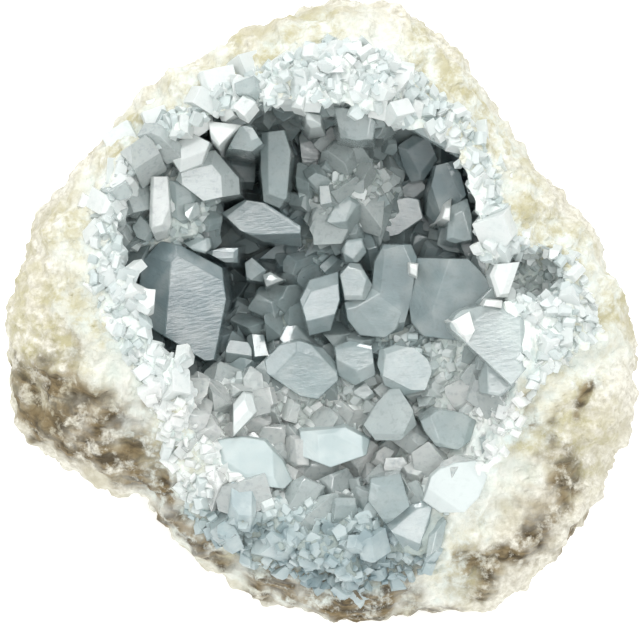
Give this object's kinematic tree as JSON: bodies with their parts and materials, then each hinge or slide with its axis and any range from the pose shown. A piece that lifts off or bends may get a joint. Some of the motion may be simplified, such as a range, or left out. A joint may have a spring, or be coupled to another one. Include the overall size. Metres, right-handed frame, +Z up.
{
  "type": "celestite geode",
  "caption": "Rough nodule of pale rock broken open on one side, its hollow lined with translucent pale blue crystals; lies on its back.",
  "frame": {"origin": "middle of the geode's own box, on the surface that it rests on", "axes": "+Z up; +X across the broken face, along the greatest width; -Y is the side that the hollow leans towards"},
  "size_m": [0.1534, 0.1438, 0.1159],
  "materials": {
    "rock": "rough, granular, stained olive and brown",
    "celestite": "translucent, vitreous crystal faces"
  },
  "bodies": {
    "root": {"rind": "rock", "crystal_crust": "celestite"}
  },
  "joints": []
}
